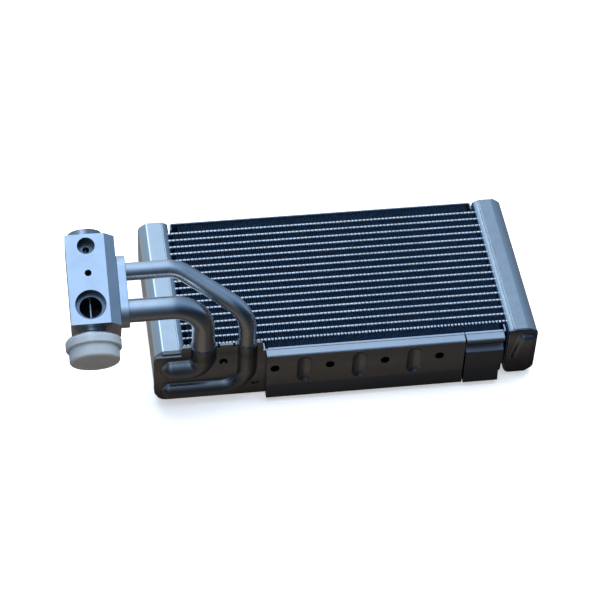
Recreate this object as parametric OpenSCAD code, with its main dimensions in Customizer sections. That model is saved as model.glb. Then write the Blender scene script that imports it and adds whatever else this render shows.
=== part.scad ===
// Evaporator core with its pipes and block valve, lying on its back.
// X runs along the tubes, +Y away from the pipe side, +Z up, in millimetres.
// The modules build round the middle of the tube bundle, and placed() moves each
// piece so that the origin lies under the middle of the whole object.

/* [Core] */
// Clear width between the two header plates
core_w = 248; // [244:1:262]
// Number of flat tubes
tube_count = 17; // [13:1:17]
// Distance from one flat tube to the next
tube_pitch = 7.6; // [7.3:0.1:8]
// Thickness of a flat tube
tube_t = 1.7; // [1.5:0.1:1.9]
// Depth of a flat tube
tube_depth = 44.5; // [43:0.5:46]
// Wall of a flat tube
tube_wall = 0.35; // [0.25:0.05:0.45]
// Passages side by side in a flat tube
tube_ports = 6; // [4:1:8]
// Length of a tube inside each header
tube_reach = 4; // [3.2:0.2:4.4]
// Length of one wave of a fin
fin_pitch = 6.2; // [5:0.2:9]
// Thickness of the fin sheet
fin_t = 0.3; // [0.2:0.05:0.4]
// Height of the fin row outside each end tube
outer_fin_h = 9.3; // [8.5:0.1:9.6]

/* [Headers] */
// Width of a header along the tubes
header_w = 24; // [22:0.5:26]
// Wall of the header plates and tanks
header_wall = 1.2; // [1:0.1:1.3]
// How far a header stands past the edges of the tubes
tank_margin = 2; // [1.8:0.1:3]

/* [Plates] */
// Thickness of the side plates and channel plates
sheet_t = 1.2; // [1:0.05:1.2]
// How far the ribbed web stands out from the near side plate
web_out = 8.05; // [7.5:0.05:9]
// Diameter of the screw holes in the web
screw_hole_d = 7; // [6:0.1:7.6]
// Height of the screw holes
screw_hole_z = 33.7; // [28:0.1:36]
// Depth of the pressed ribs in the web
rib_depth = 2.5; // [1:0.1:3]
// Height of the upper channel
upper_z = 34.5; // [33:0.5:35]
// Height of the lower channel
lower_z = 11.5; // [10:0.5:13]

/* [Pipes] */
// Outer diameter of the suction pipe
suction_d = 16; // [14:0.2:16]
// Outer diameter of the liquid pipe
liquid_d = 12; // [10:0.2:12.4]
// Wall of both pipes
pipe_wall = 1.2; // [1:0.1:1.6]
// Bend radius of both pipes
bend_r = 24; // [20:1:26]
// Distance from the left header plate to the suction neck
suction_in = 12.7; // [12.5:0.1:14]
// Distance from the left header plate to the liquid neck
liquid_in = 45.8; // [43:0.2:47]
// Height of the level run of the suction pipe
valve_z = 100.5; // [92:0.5:104]
// Distance from the suction neck to the valve block
valve_far = 61.7; // [56:0.1:66]

/* [Valve] */
// Thickness of the valve block along the pipes
block_w = 36.2; // [34:0.2:38]
// Length of the valve block
block_l = 69.6; // [68:0.2:74]
// Height of the valve block
block_h = 34; // [33:0.5:36]
// Angle by which the valve leans back
valve_tilt = 24; // [15:1:30]
// Distance between the two pipe seats of the block
seat_gap = 31.1; // [30.6:0.1:31.6]
// Diameter of the suction line port
line_suction_d = 22.6; // [20:0.2:23]
// Diameter of the liquid line port
line_liquid_d = 13; // [11:0.2:14]
// Diameter of the tapped hole between the line ports
line_screw_d = 5; // [4.2:0.1:5.2]
// Diameter of the diaphragm housing at its crimped edge
head_d = 38.4; // [36:0.2:39]
// Wall of the protective cap
cap_wall = 1.2; // [1:0.1:1.6]

/* [Hidden] */
round_sides = 48;
corner_steps = 4;
half_steps = 8;
fillet_steps = 3;
press_r = 1.6;
cut = 1;
braze_gap = 0.05;
slip = 0.1;

// Tube bundle
near_y = -(tube_count - 1) / 2 * tube_pitch;
far_y = -near_y;
core_l = -core_w / 2;
core_r = core_w / 2;
core_bot = tank_margin;
core_top = core_bot + tube_depth;
fin_inset = 0.4;
fin_short = 5;
far_row_in = 2;

// Side plates and the joint plane of the two channel plates
side_in = tube_t / 2 + outer_fin_h;
side_out = side_in + sheet_t;
plate_play = 0.25;
joint_y = near_y - side_out - plate_play;
side_y = near_y - side_out;
far_end = far_y + side_out + plate_play;
side_top = core_top - slip;
tab_l = 6.5;
tab_short = 1.4;

// Header section, seen along Y, with U from the header plate outwards
header_t = tube_depth + 2 * tank_margin;
mid_z = header_t / 2;
plate_r = 3.8;
plate_flange = 11;
tank_from = 4.5;
tank_bevel = 0.8;
slant = [0.8, 0.6];
slant_a = atan(slant[1] / slant[0]);
tank_r = 6;
crease_in = 6.7;
crease_u = header_w - crease_in;
tank_arc_z = (tank_r + slant[1] * (header_w - tank_r - crease_u)) / slant[0];
end_r = 5;
rib_half = 0.6;
cap_band = 3.8;
cap_pocket = 2.2;
cap_grow = 0.6;
pocket_in = 1.6;
left_near = joint_y + sheet_t + cap_band;
right_cap_t = 1.4;
right_cap_in = 0.3;
dome_h = 3;
dome_foot = 3.6;
dome_mid = 3;
dome_out = 20;
dome_lean = 1;
dome_in = 7;
dome_top = 5.5;
dome_side = 29;
dome_low = 37;
plug_in = 2.6;
far_cap_t = 1.6;
far_cap_in = 1.5;
plug_l = 4;

// Channels
wall_press = sheet_t - slip;
upper_r = suction_d / 2 + slip;
lower_r = liquid_d / 2 + slip;
upper_bend = 12;
lower_bend = 20;
neck_rise = 9;
channel_past = 20;
bulge_in = 1.4;
suction_x = core_l + suction_in;
liquid_x = core_l + liquid_in;
neck_z = header_t + neck_rise;
channel_l = core_l - channel_past;
flow_u = 12;
flow_upper_r = 5;
flow_lower_r = 4.5;
bulge_from = core_l + bulge_in;

// Outline of the channel plates
sheet_past = 23.6;
sheet_bot = 1;
sheet_under = 0.5;
sheet_corner = 8;
tab_before = 16.7;
tab_after = 12.2;
tab_under = 0.4;
tab_corner = 2;
notch_w = 1.8;
notch_h = 5;
notch_r = 0.6;
web_in = 60.4;
web_short = 34.8;
back_short = 1.7;
side_before = 1.4;
locate_d = 6.5;
locate_in = 15.3;
locate_up = 4.5;
slot_before = 7.7;
slot_z = 13;
slot_l = 6;
slot_w = 4.5;
slot_half = (slot_l - slot_w) / 2;
sheet_l = core_l - sheet_past;
sheet_top = header_t - sheet_under;
tab_from = suction_x - tab_before;
tab_to = liquid_x + tab_after;
tab_z = neck_z - tab_under;
web_l = core_l + web_in;
web_r = core_r - web_short;
back_r = web_l - back_short;
side_l = web_l - side_before;
locate_x = suction_x + locate_in;
locate_z = upper_z + locate_up;
slot_x = web_l - slot_before;

// Ribbed web and short bracket
web_y = side_y - web_out;
lip_z = 15.4;
lip_out = 2.5;
web_bot = 2.9;
bend_out = 1.5;
first_hole = 6.2;
last_hole = 19.4;
screw_hole_pitch = (web_r - web_l - first_hole - last_hole) / 3;
rib_r = 8;
rib_shift = 1.7;
rib_low = 22.8;
rib_under = 9.6;
rib_high = header_t - rib_under;
rib_side = rib_r - rib_depth;
seam = 1.2;
bracket_short = 4.1;
bracket_l = web_r + seam;
bracket_r = core_r - bracket_short;
bracket_notch = 2.4;
notch_top = 19.5;
recess = 4.6;
recess_lip = 3;
recess_from = 6;
recess_to = 10;
ledge = 0.7;
ledge_down = 13;
lower_bend_up = 1.5;

// Pipes
foot_under = 1.5;
corner_before = 16.7;
corner_drop = 10.8;
foot_z = header_t - foot_under;
block_x = suction_x - valve_far - block_w;
seat_l = 8;
seat_play = 1.8;
pipe_end = block_x + block_w - seat_l + seat_play;
liquid_y = joint_y + seat_gap * cos(valve_tilt);
liquid_z = valve_z + seat_gap * sin(valve_tilt);
first_corner = [suction_x - corner_before, liquid_y, liquid_z];
second_corner = [liquid_x, joint_y, valve_z - corner_drop];
braze_past = 0.4;
braze_low = 0.7;
braze_top = 0.6;
braze_h = 2.1;
pipe_sides = 24;
bend_steps = 8;

// Valve block: X from its left face, Y along it from the suction seat, Z up from the pipe axes
block_near = -14.8;
block_far = block_near + block_l;
block_bot = -12.9;
block_top = block_bot + block_h;
block_bevel = 7.6;
port_x = 15;
line_suction_l = 6.5;
line_suction_inner = 8.25;
line_suction_floor = -8.5;
line_liquid_end = 9.2;
line_liquid_y = block_far - line_liquid_end;
line_liquid_l = 9;
line_liquid_inner = 2.5;
line_screw_off = 1.6;
line_screw_y = line_liquid_y / 2 + line_screw_off;
line_screw_l = 12;
suction_bore = 7;
liquid_bore = 5;
ring_r = 0.9;
ring_depth = 1.9;
rod_z = 5.1;
rod_r = 1.5;
orifice_r = 2;
orifice_end = 16.3;
orifice_y = block_far - orifice_end;
ball_r = 2.8;
ball_y = orifice_y + sqrt(ball_r * ball_r - orifice_r * orifice_r);
carrier_r = 3.4;
carrier_end = ball_y + ball_r;
chamber_r = 5.2;
plug_r = 12.5;
plug_t = 5.6;
stem_r = 6;
stem_l = 5.8;
hex_r = 5;
hex_l = 3;
spring_r = 2.6;
wire_r = 0.45;
spring_turns = 4;
turn_rings = 16;
wire_sides = 8;
stub_r = 9;
stub_l = 5;
flange_gap = 0.2;
flange_t = 6.4;
flange_r = 12;
screw_off = 0.95;
screw_y = seat_gap / 2 + screw_off;
screw_z = -3;
screw_r = 3;
screw_head_r = 5;
screw_head_l = 5.5;
counter_r = 5.25;
counter_l = 6;

// Diaphragm housing and cap, with H from the block face outwards
neck_r = 10;
neck_l = 3;
cone_r = 12;
crimp_from = 6.7;
crimp_to = 9.7;
crimp_in = 0.6;
crown_h = 15.2;
crown_r = 8;
charge_r = 2.5;
charge_h = 19.2;
head_r = head_d / 2;
rim_from = 8;
rim_to = 14.5;
cap_end = 24.5;
cap_end_t = 1.7;
cap_step = 2;
cap_round = 2;
rim_r = head_r + cap_wall;
cap_r = rim_r - cap_step;

// Extent of the whole object, which sets the origin
low_x = block_x + port_x - rim_r;
high_x = core_r + header_w;
low_y = joint_y + (block_near - cap_end + cap_round) * cos(valve_tilt)
    - (rod_z + cap_r - cap_round) * sin(valve_tilt) - cap_round;
high_y = far_end;
middle = [(low_x + high_x) / 2, (low_y + high_y) / 2];

function numbered(stem, i) = str(stem, i < 10 ? "0" : "", i);
TUBES = [for (i = [1:tube_count]) numbered("tube_", i)];
FINS = [for (i = [1:tube_count + 1]) numbered("fin_", i)];

// Unit vector, and a point of a circle
function unit(v) = v / norm(v);
function on_circle(c, r, a) = [c[0] + r * cos(a), c[1] + r * sin(a)];
function arc(c, r, a0, a1) =
    [for (k = [0:corner_steps]) on_circle(c, r, a0 + (a1 - a0) * k / corner_steps)];

// Corner of an outline at b, rounded by r, on the way from a to c
function corner(a, b, c, r) = r == 0 ? [b] :
    let (
        to_a = unit(a - b),
        to_c = unit(c - b),
        half = acos(to_a * to_c) / 2,
        centre = b + unit(to_a + to_c) * r / sin(half),
        from = b + to_a * r / tan(half) - centre,
        to = b + to_c * r / tan(half) - centre,
        start = atan2(from[1], from[0]),
        sweep = (180 - 2 * half) * sign(cross(from, to))
    )
    arc(centre, r, start, start + sweep);
function flat(p) = [p[0], p[1]];

// Closed outline from points [x, y, radius]
function outline(pts) =
    let (n = len(pts))
    [for (i = [0:n - 1])
        each corner(flat(pts[(i + n - 1) % n]), flat(pts[i]), flat(pts[(i + 1) % n]), pts[i][2])];

// Open path from points [x, y, radius]
function path(pts) = [
    for (i = [0:len(pts) - 1])
        each (i == 0 || i == len(pts) - 1 ? [flat(pts[i])]
            : corner(flat(pts[i - 1]), flat(pts[i]), flat(pts[i + 1]), pts[i][2]))
];
function left_of(d) = [-d[1], d[0]];

// Sideways step at point i of a path, with mitred corners
function side_step(p, i) =
    let (
        before = left_of(unit(i == 0 ? p[1] - p[0] : p[i] - p[i - 1])),
        after = left_of(unit(i == len(p) - 1 ? p[i] - p[i - 1] : p[i + 1] - p[i]))
    )
    (before + after) / (1 + before * after);

// Outline of a sheet of thickness t whose middle follows the path p
function sheet_of(p, t) = concat(
    [for (i = [0:len(p) - 1]) p[i] + side_step(p, i) * t / 2],
    [for (i = [len(p) - 1:-1:0]) p[i] - side_step(p, i) * t / 2]
);

// Moves a piece to its place over the origin
module placed() {
    translate([-middle[0], -middle[1], 0]) children();
}

// Prism along Y from y0 to y1, of an outline in X and Z
module along_y(y0, y1, pts) {
    translate([0, y1, 0]) rotate([90, 0, 0]) linear_extrude(y1 - y0) polygon(pts);
}

// Prism along X from x0 to x1, of an outline in Y and Z
module along_x(x0, x1, pts) {
    translate([x0, 0, 0]) rotate([90, 0, 90]) linear_extrude(x1 - x0) polygon(pts);
}

// Cylinder along Y or X, from the point at in the positive direction
module rod_y(at, l, r) {
    translate([at[0], at[1] + l, at[2]]) rotate([90, 0, 0]) cylinder(h = l, r = r, $fn = round_sides);
}
module rod_x(at, l, r) {
    translate(at) rotate([0, 90, 0]) cylinder(h = l, r = r, $fn = round_sides);
}

// Flat tube section, grown by g
module tube_section(g) {
    r = tube_t / 2 + g;
    translate([-r, tube_t / 2]) square([2 * r, tube_depth - tube_t]);
    for (z = [tube_t / 2, tube_depth - tube_t / 2]) translate([0, z]) circle(r = r, $fn = round_sides);
}

// Tube y position, counted from the pipe side
function tube_y(i) = near_y + (i - 1) * tube_pitch;

module tube_prism(x0, x1, y, g) {
    translate([x0, y, core_bot]) rotate([90, 0, 90]) linear_extrude(x1 - x0) tube_section(g);
}

module tube(i) {
    inner = tube_t - 2 * tube_wall;
    first = tube_t / 2;
    port_w = (tube_depth - tube_t - (tube_ports - 1) * tube_wall) / tube_ports;
    color("silver") difference() {
        tube_prism(core_l - tube_reach, core_r + tube_reach, tube_y(i), 0);
        for (k = [0:tube_ports - 1])
            translate([
                core_l - tube_reach - cut,
                tube_y(i) - inner / 2,
                core_bot + first + k * (port_w + tube_wall)
            ])
                cube([core_w + 2 * (tube_reach + cut), inner, port_w]);
    }
}

// Half height of the middle line of a fin, so that its crests touch at height h
function fin_rise(h, half_wave) =
    let (k = fin_t / (2 * half_wave), q = 1 - 4 * k * k)
    (h - sqrt(h * h - q * (h * h - 4 * k * k * half_wave * half_wave))) / (2 * q);

// Corrugated fin row between x0 and x1, centred on y, of height h
module fin_row(x0, x1, y, h) {
    waves = round((x1 - x0) / (fin_pitch / 2));
    half_wave = (x1 - x0) / waves;
    rise = fin_rise(h, half_wave);
    crests = [for (k = [0:waves]) [x0 + k * half_wave, y + (k % 2 == 0 ? rise : -rise)]];
    color("darkslategray") translate([0, 0, core_bot + fin_inset])
        linear_extrude(tube_depth - 2 * fin_inset) polygon(sheet_of(crests, fin_t));
}

module fin(i) {
    outer_y = near_y - tube_t / 2 - outer_fin_h / 2;
    if (i == 1) fin_row(side_l + 2, core_r - fin_short, outer_y, outer_fin_h);
    else if (i == tube_count + 1)
        fin_row(core_l + fin_short + far_row_in, core_r - fin_short, -outer_y, outer_fin_h);
    else fin_row(core_l + fin_short, core_r - fin_short, tube_y(i) - tube_pitch / 2, tube_pitch - tube_t);
}

// Mirrors a half outline [u, z] of a header over its middle height
function both_halves(low) = concat(low, [for (i = [len(low) - 1:-1:0]) [low[i][0], header_t - low[i][1]]]);

// Outer and inner lines of the header plate and of the tank, as lower halves
function plate_line(d) = concat(
    arc([plate_r, header_wall + plate_r], plate_r - d, 180, 270), [[plate_flange, header_wall + d]]);
function tank_line(d) = concat([[crease_u - d / 3, d]],
    arc([header_w - tank_r, tank_arc_z], tank_r - d, -90 + slant_a, 0));

// Full end outline of a header, grown by g
function end_outline(g) = both_halves(concat(
    arc([end_r, end_r], end_r + g, 180, 270), tank_line(-g)));

// Outline of the hollow inside a header
function hollow_outline() = both_halves(concat(
    plate_line(header_wall), [[plate_flange, header_wall]], tank_line(header_wall)));

// Side of the core: -1 for the left header and 1 for the right one
module header_side(side) {
    translate([side * core_w / 2, 0, 0]) mirror([side < 0 ? 1 : 0, 0, 0]) children();
}

module header_plate(side, y0) {
    line_out = plate_line(0);
    line_in = plate_line(header_wall);
    half = len(line_out);
    outer = both_halves([for (i = [half - 1:-1:0]) line_out[i]]);
    inner = both_halves([for (i = [half - 1:-1:0]) line_in[i]]);
    ring = concat(outer, [for (i = [len(inner) - 1:-1:0]) inner[i]]);
    color("silver") difference() {
        header_side(side) along_y(y0, far_end, ring);
        for (i = [1:tube_count]) header_side(side)
            tube_prism(-cut, tube_reach + braze_gap, tube_y(i), braze_gap);
    }
}

// Tank section: outer line with bevelled edges, then the inner line back
function tank_ring() =
    let (
        outer = both_halves(concat([[tank_from, tank_bevel], [tank_from + tank_bevel, 0]], tank_line(0))),
        inner = both_halves(concat([[tank_from, header_wall]], tank_line(header_wall)))
    )
    concat(outer, [for (i = [len(inner) - 1:-1:0]) inner[i]]);

module left_header_plate() { header_plate(-1, left_near); }
module right_header_plate() { header_plate(1, joint_y); }

module left_tank() {
    rib_from = tube_reach + slip * 2;
    rib_w = header_w - header_wall / 2 - rib_from;
    rib_l = far_end - far_cap_in - far_cap_t - left_near;
    color("lightsteelblue") header_side(-1) {
        along_y(left_near, far_end, tank_ring());
        translate([rib_from, left_near, mid_z - rib_half])
            cube([rib_w, rib_l, 2 * rib_half]);
    }
}

module right_tank() {
    color("lightsteelblue") header_side(1) along_y(joint_y, far_end, tank_ring());
}

// Cap between the left header and the channel plates, with one passage for each channel
module left_near_cap() {
    band = [for (p = end_outline(cap_grow)) [p[0], max(p[1], 0)]];
    color("silver") header_side(-1) difference() {
        along_y(joint_y + sheet_t, left_near, band);
        difference() {
            along_y(left_near - cap_pocket, left_near + cut, end_outline(-pocket_in - header_wall));
            translate([0, left_near - cap_pocket - cut, mid_z - 2 * rib_half])
                cube([header_w, cap_pocket + 3 * cut, 4 * rib_half]);
        }
        rod_y([flow_u, joint_y, upper_z], cap_band + sheet_t, flow_upper_r);
        rod_y([flow_u, joint_y, lower_z], cap_band + sheet_t, flow_lower_r);
    }
}

// Cap on the near end of the right header, with a pressed three-cornered dome
module right_near_cap() {
    corners = [
        [dome_out, header_t - dome_top],
        [dome_in, header_t - dome_side],
        [dome_out - dome_lean, header_t - dome_low]
    ];
    color("silver") header_side(1) {
        along_y(joint_y - right_cap_t, joint_y, end_outline(-right_cap_in));
        difference() {
            along_y(joint_y, joint_y + plug_l, end_outline(-plug_in));
            along_y(joint_y, joint_y + plug_l + cut, end_outline(-plug_in - header_wall));
        }
        hull() for (c = corners) translate([c[0], joint_y - right_cap_t, c[1]]) rotate([90, 0, 0]) {
            cylinder(h = dome_h / 2, r1 = dome_foot, r2 = dome_mid, $fn = 32);
            cylinder(h = dome_h, r1 = dome_mid, r2 = dome_mid / 2, $fn = 32);
        }
    }
}

module far_end_caps() {
    y1 = far_end - far_cap_in;
    color("silver") for (side = [-1, 1]) header_side(side) along_y(y1 - far_cap_t, y1, hollow_outline());
}

// Side plate along X with both ends bent towards the tubes; dir is 1 on the far side
module side_plate(x0, x1, dir) {
    y = dir * (far_y + side_in + sheet_t / 2);
    tab_y = dir * (far_y + side_out - tab_l - sheet_t);
    p = path([[x0 + sheet_t / 2, tab_y, 0], [x0 + sheet_t / 2, y, bend_out],
        [x1 - sheet_t / 2, y, bend_out], [x1 - sheet_t / 2, tab_y, 0]]);
    translate([0, 0, core_bot]) linear_extrude(side_top - core_bot) polygon(sheet_of(p, sheet_t));
}

module far_side_plate() {
    color("gainsboro") side_plate(core_l + tab_short, core_r - tab_short, 1);
}

module near_side_plate() {
    edge_from = side_l + 2 * bend_out;
    color("gainsboro") {
        side_plate(side_l, core_r - tab_short, -1);
        translate([edge_from, side_y, side_top - cut])
            cube([web_r + sheet_t / 2 - edge_from, sheet_t, cut + sheet_t]);
    }
}

// Round end of a groove, pointing towards -X
module round_end(r) {
    rotate([0, -90, 0]) rotate_extrude($fn = round_sides) polygon(concat([[0, 0]], arc([0, 0], r, 0, 90)));
}

// Right half of a channel section [across, outwards], from the sheet to the crown. The outside of
// a channel meets the face of its sheet in a fillet; the inside has none and passes the joint plane.
function outer_half(r) =
    let (
        up = sheet_t + press_r,
        x = sqrt(pow(r + press_r, 2) - pow(up, 2)),
        a = atan2(up, x)
    )
    concat([[x, 0]],
        [for (k = [0:fillet_steps]) on_circle([x, up], press_r, 270 - (90 - a) * k / fillet_steps)],
        [for (k = [1:half_steps]) on_circle([0, 0], r, a + (90 - a) * k / half_steps)]);
function inner_half(r) = concat([[r, -cut]],
    [for (k = [0:half_steps]) on_circle([0, 0], r, 90 * k / half_steps)]);
function left_half(half) = [for (i = [len(half) - 2:-1:0]) [-half[i][0], half[i][1]]];

// Half of a channel on one side of the joint plane: side is -1 for the near half and 1 for the far
// half. It starts at x0 with a round end, runs right at height z, turns up at x1 and ends at top.
module half_channel(x0, x1, z, bend, top, half, side) {
    section = concat(half, left_half(half));
    foot = half[0][1];
    translate([x0, joint_y, z]) rotate([90, 0, 0]) rotate([0, 0, 90])
        rotate_extrude(angle = 180, $fn = round_sides)
            polygon([for (q = concat([[0, foot]], half)) [max(q[0], 0), -side * q[1]]]);
    along_x(x0, x1 - bend, [for (q = section) [joint_y + side * q[1], z + q[0]]]);
    translate([x1 - bend, joint_y, z + bend]) rotate([90, 0, 0]) rotate([0, 0, -90])
        rotate_extrude(angle = 90, $fn = round_sides)
            polygon([for (q = section) [bend + q[0], -side * q[1]]]);
    translate([0, 0, z + bend]) linear_extrude(top - z - bend)
        polygon([for (q = section) [x1 + q[0], joint_y + side * q[1]]]);
}

module channel_outside(side) {
    u = upper_r + wall_press;
    v = lower_r + wall_press;
    half_channel(channel_l + u, suction_x, upper_z, upper_bend, neck_z, outer_half(u), side);
    half_channel(channel_l + v, liquid_x, lower_z, lower_bend, neck_z, outer_half(v), side);
}

module channel_inside(side) {
    half_channel(channel_l + upper_r + wall_press, suction_x, upper_z, upper_bend, neck_z + cut,
        inner_half(upper_r), side);
    half_channel(channel_l + lower_r + wall_press, liquid_x, lower_z, lower_bend, neck_z + cut,
        inner_half(lower_r), side);
}

// Outline of a channel plate that ends at x1 on its right, with its raised tab round the necks
function plate_outline(x1) =
    let (
        n1 = suction_x + upper_r + wall_press + press_r + notch_w / 2,
        n2 = liquid_x - lower_r - wall_press - press_r - notch_w / 2
    )
    outline([
        [sheet_l, sheet_bot, sheet_corner], [x1, sheet_bot, 0], [x1, side_top + sheet_t, 0],
        [tab_to, side_top + sheet_t, 0], [tab_to, tab_z, tab_corner],
        [n2 + notch_w / 2, tab_z, 0], [n2 + notch_w / 2, tab_z - notch_h, notch_r],
        [n2 - notch_w / 2, tab_z - notch_h, notch_r], [n2 - notch_w / 2, tab_z, 0],
        [n1 + notch_w / 2, tab_z, 0], [n1 + notch_w / 2, tab_z - notch_h, notch_r],
        [n1 - notch_w / 2, tab_z - notch_h, notch_r], [n1 - notch_w / 2, tab_z, 0],
        [tab_from, tab_z, tab_corner], [tab_from, sheet_top, 0], [sheet_l, sheet_top, tab_corner]
    ]);

module locating_hole() {
    rod_y([locate_x, joint_y - 2 * sheet_t, locate_z], 4 * sheet_t, locate_d / 2);
}

module channel_back_plate() {
    color("silver") difference() {
        union() {
            along_y(joint_y, joint_y + sheet_t, plate_outline(back_r));
            intersection() {
                channel_outside(1);
                translate([bulge_from, joint_y - cut, 0])
                    cube([back_r - bulge_from, upper_r + 2 * sheet_t, neck_z + cut]);
            }
        }
        intersection() {
            channel_inside(1);
            translate([bulge_from + sheet_t, joint_y - 2 * cut, 0])
                cube([back_r - bulge_from, upper_r + 3 * cut, neck_z + 2 * cut]);
        }
        rod_y([core_l - flow_u, joint_y - cut, upper_z], sheet_t + 2 * cut, flow_upper_r);
        rod_y([core_l - flow_u, joint_y - cut, lower_z], sheet_t + 2 * cut, flow_lower_r);
        locating_hole();
    }
}

// Upright round groove with domed ends, seen from its middle line
module groove(x, r) {
    translate([x, web_y - rib_side, rib_low]) {
        cylinder(h = rib_high - rib_low, r = r, $fn = round_sides);
        translate([0, 0, rib_high - rib_low]) rotate([0, 90, 0]) round_end(r);
        rotate([0, -90, 0]) round_end(r);
    }
}

// Middle line of the ribbed web in Y and Z: top flange, web, flared lip and bottom flange
function web_line() =
    let (y = web_y + sheet_t / 2, z1 = side_top + sheet_t / 2)
    path([[side_y, z1, 0], [y, z1, bend_out], [y, lip_z, 2 * bend_out],
        [y - lip_out, web_bot, bend_out], [side_y, web_bot, 0]]);

module channel_front_plate() {
    holes = [for (k = [0:3]) web_l + first_hole + k * screw_hole_pitch];
    ribs = [for (k = [0:2]) (holes[k] + holes[k + 1]) / 2 + rib_shift];
    color("silver") difference() {
        union() {
            along_y(joint_y - sheet_t, joint_y, plate_outline(web_l + sheet_t));
            channel_outside(-1);
            along_x(web_l, web_r, sheet_of(web_line(), sheet_t));
            translate([web_l, web_y + sheet_t / 2, web_bot])
                cube([sheet_t, joint_y - web_y - sheet_t / 2, side_top - web_bot]);
            intersection() {
                for (x = ribs) groove(x, rib_r + sheet_t);
                translate([web_l, web_y, 0]) cube([web_r - web_l, web_out, header_t]);
            }
        }
        channel_inside(-1);
        for (x = ribs) groove(x, rib_r);
        for (x = holes) rod_y([x, web_y - cut, screw_hole_z], sheet_t + 2 * cut, screw_hole_d / 2);
        locating_hole();
        for (x = [-slot_half, slot_half])
            rod_y([slot_x + x, joint_y - 2 * sheet_t, slot_z], 3 * sheet_t, slot_w / 2);
        translate([slot_x - slot_half, joint_y - 2 * sheet_t, slot_z - slot_w / 2])
            cube([2 * slot_half, 3 * sheet_t, slot_w]);
    }
}

module short_bracket() {
    y = web_y + sheet_t / 2;
    z1 = side_top + sheet_t / 2;
    p = path([[side_y + sheet_t, z1, 0], [y, z1, bend_out], [y, z1 - recess_lip, bend_out / 2],
        [y + recess, z1 - recess_from, bend_out], [y + recess, z1 - recess_to, bend_out],
        [y - ledge, z1 - ledge_down, bend_out], [y - ledge, lip_z + lower_bend_up, bend_out],
        [y - lip_out - ledge, web_bot, bend_out], [side_y, web_bot, 0]]);
    color("silver") difference() {
        along_x(bracket_l, bracket_r, sheet_of(p, sheet_t));
        translate([bracket_r - bracket_notch, web_y - lip_out - 4 * ledge, 0])
            cube([bracket_notch + cut, web_out + lip_out + 4 * ledge - sheet_t, notch_top]);
    }
}

// Suction pipe solid of radius r, with its ends moved out by e
module suction_run(r, e) {
    top = valve_z - bend_r;
    translate([suction_x, joint_y, foot_z - e]) cylinder(h = top - foot_z + e, r = r, $fn = round_sides);
    translate([suction_x - bend_r, joint_y, top]) rotate([90, 0, 0])
        rotate_extrude(angle = 90, $fn = round_sides) translate([bend_r, 0]) circle(r = r, $fn = round_sides);
    rod_x([pipe_end - e, joint_y, valve_z], suction_x - bend_r - pipe_end + e, r);
}

module suction_pipe() {
    color("silver") difference() {
        suction_run(suction_d / 2, 0);
        suction_run(suction_d / 2 - pipe_wall, cut);
    }
}

// Points of a rounded bend at b between a and c in space
function bend_points(a, b, c, r) =
    let (
        to_a = unit(a - b),
        to_c = unit(c - b),
        half = acos(to_a * to_c) / 2,
        centre = b + unit(to_a + to_c) * r / sin(half),
        out = unit(b + to_a * r / tan(half) - centre),
        way = -to_a,
        turn = 180 - 2 * half
    )
    [for (k = [0:bend_steps])
        let (a = turn * k / bend_steps)
        centre + r * (out * cos(a) + way * sin(a))];

// Direction of a path at point i, and section directions carried along it without twist
function way_at(p, i) = i == 0 ? unit(p[1] - p[0])
    : i == len(p) - 1 ? unit(p[i] - p[i - 1])
    : unit(unit(p[i] - p[i - 1]) + unit(p[i + 1] - p[i]));
function square_to(v, w) = unit(v - w * (v * w));
function carried(p, first) = [
    for (i = 0, v = square_to(first, way_at(p, 0)); i < len(p);
        i = i + 1, v = i < len(p) ? square_to(v, way_at(p, i)) : v) v
];

// Rings of a tube of radius r along a path
function rings(p, first, r, sides) =
    let (dirs = carried(p, first))
    [for (i = [0:len(p) - 1]) let (w = way_at(p, i), b = cross(w, dirs[i]))
        for (k = [0:sides - 1]) p[i] + r * (dirs[i] * cos(360 * k / sides) + b * sin(360 * k / sides))];

// Side faces of rings stored from index base, turned outwards or inwards
function skin(count, sides, base, outwards) = [
    for (i = [0:count - 2], k = [0:sides - 1])
        let (
            a = base + i * sides + k,
            b = base + i * sides + (k + 1) % sides,
            c = a + sides,
            d = b + sides
        )
        each (outwards ? [[a, c, d], [a, d, b]] : [[a, d, c], [a, b, d]])
];

// Hollow pipe of outer radius r1 and inner radius r2 along a path
module pipe_along(p, first, r1, r2, sides) {
    n = len(p) * sides;
    last = n - sides;
    ends = [for (k = [0:sides - 1]) let (m = (k + 1) % sides)
        each [[k, m, n + m, n + k], [last + k, n + last + k, n + last + m, last + m]]];
    polyhedron(
        points = concat(rings(p, first, r1, sides), rings(p, first, r2, sides)),
        faces = concat(skin(len(p), sides, 0, true), skin(len(p), sides, n, false), ends));
}

// Solid wire of radius r along a path
module wire_along(p, first, r, sides) {
    last = (len(p) - 1) * sides;
    polyhedron(
        points = rings(p, first, r, sides),
        faces = concat(skin(len(p), sides, 0, true),
            [[for (k = [0:sides - 1]) k], [for (k = [sides - 1:-1:0]) last + k]]));
}

module liquid_pipe() {
    start = [pipe_end, liquid_y, liquid_z];
    foot = [liquid_x, joint_y, foot_z];
    p = concat([start], bend_points(start, first_corner, second_corner, bend_r),
        bend_points(first_corner, second_corner, foot, bend_r), [foot]);
    color("silver") pipe_along(p, [0, 0, 1], liquid_d / 2, liquid_d / 2 - pipe_wall, pipe_sides);
}

// Braze fillet ring round a pipe of radius r on its neck
module braze_ring(x, r) {
    edge = r + wall_press + slip + braze_past;
    translate([x, joint_y, neck_z]) rotate_extrude($fn = round_sides)
        polygon([[r, 0], [edge, 0], [edge, braze_low], [r + braze_top, braze_h], [r, braze_h]]);
}

module braze_rings() {
    color("whitesmoke") {
        braze_ring(suction_x, suction_d / 2);
        braze_ring(liquid_x, liquid_d / 2);
    }
}

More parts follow.
